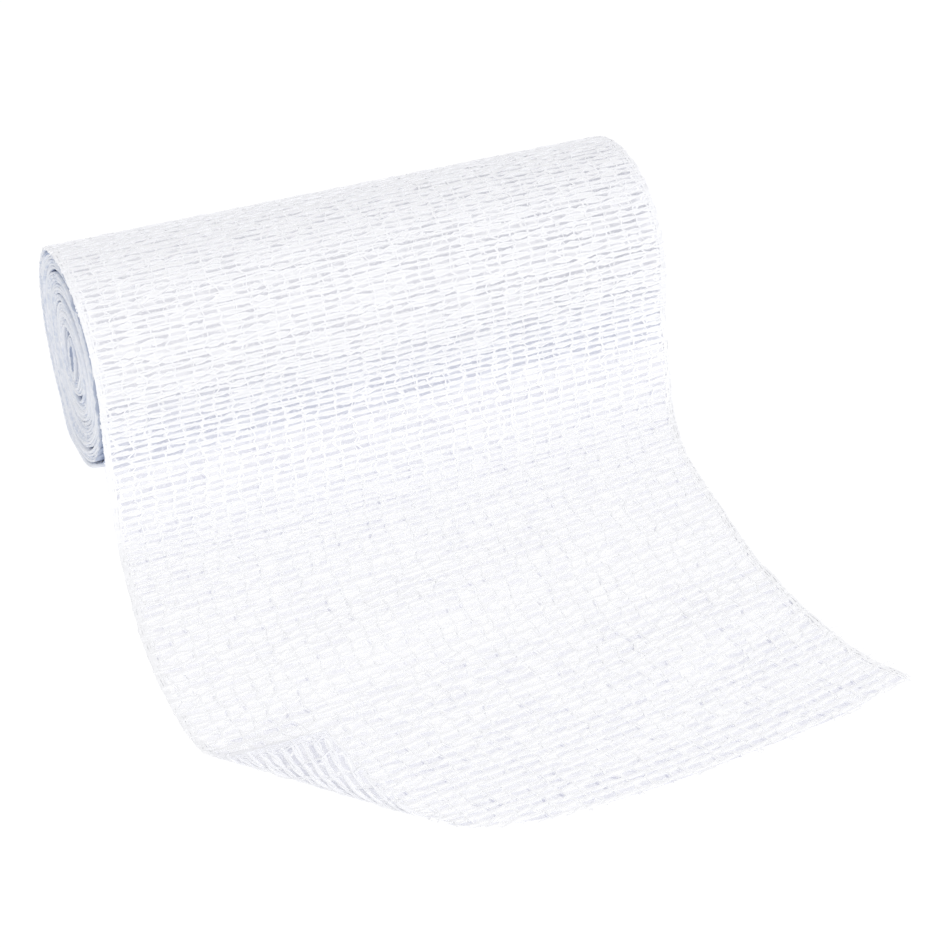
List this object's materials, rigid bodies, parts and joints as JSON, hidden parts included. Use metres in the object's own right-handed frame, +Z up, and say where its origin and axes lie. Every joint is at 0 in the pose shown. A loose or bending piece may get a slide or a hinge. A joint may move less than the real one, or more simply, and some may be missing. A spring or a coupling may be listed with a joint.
{
  "type": "elastic gauze bandage roll",
  "caption": "Wound roll of sheer elastic gauze bandage whose loose end hangs down the front and lies drawn out flat, with one corner turned up.",
  "frame": {"origin": "on the surface that the roll rests on, in the middle of the flat spot under the roll", "axes": "+X along the roll to the right, +Y to the back, away from the loose end, +Z up"},
  "size_m": [0.1064, 0.1323, 0.0376],
  "materials": {
    "wound_gauze": "matte white cotton gauze, many layers deep",
    "sheer_gauze": "matte white open cotton gauze, one layer, sheer"
  },
  "bodies": {
    "root": {"wound_roll": "wound_gauze", "loose_end": "sheer_gauze"}
  },
  "joints": []
}
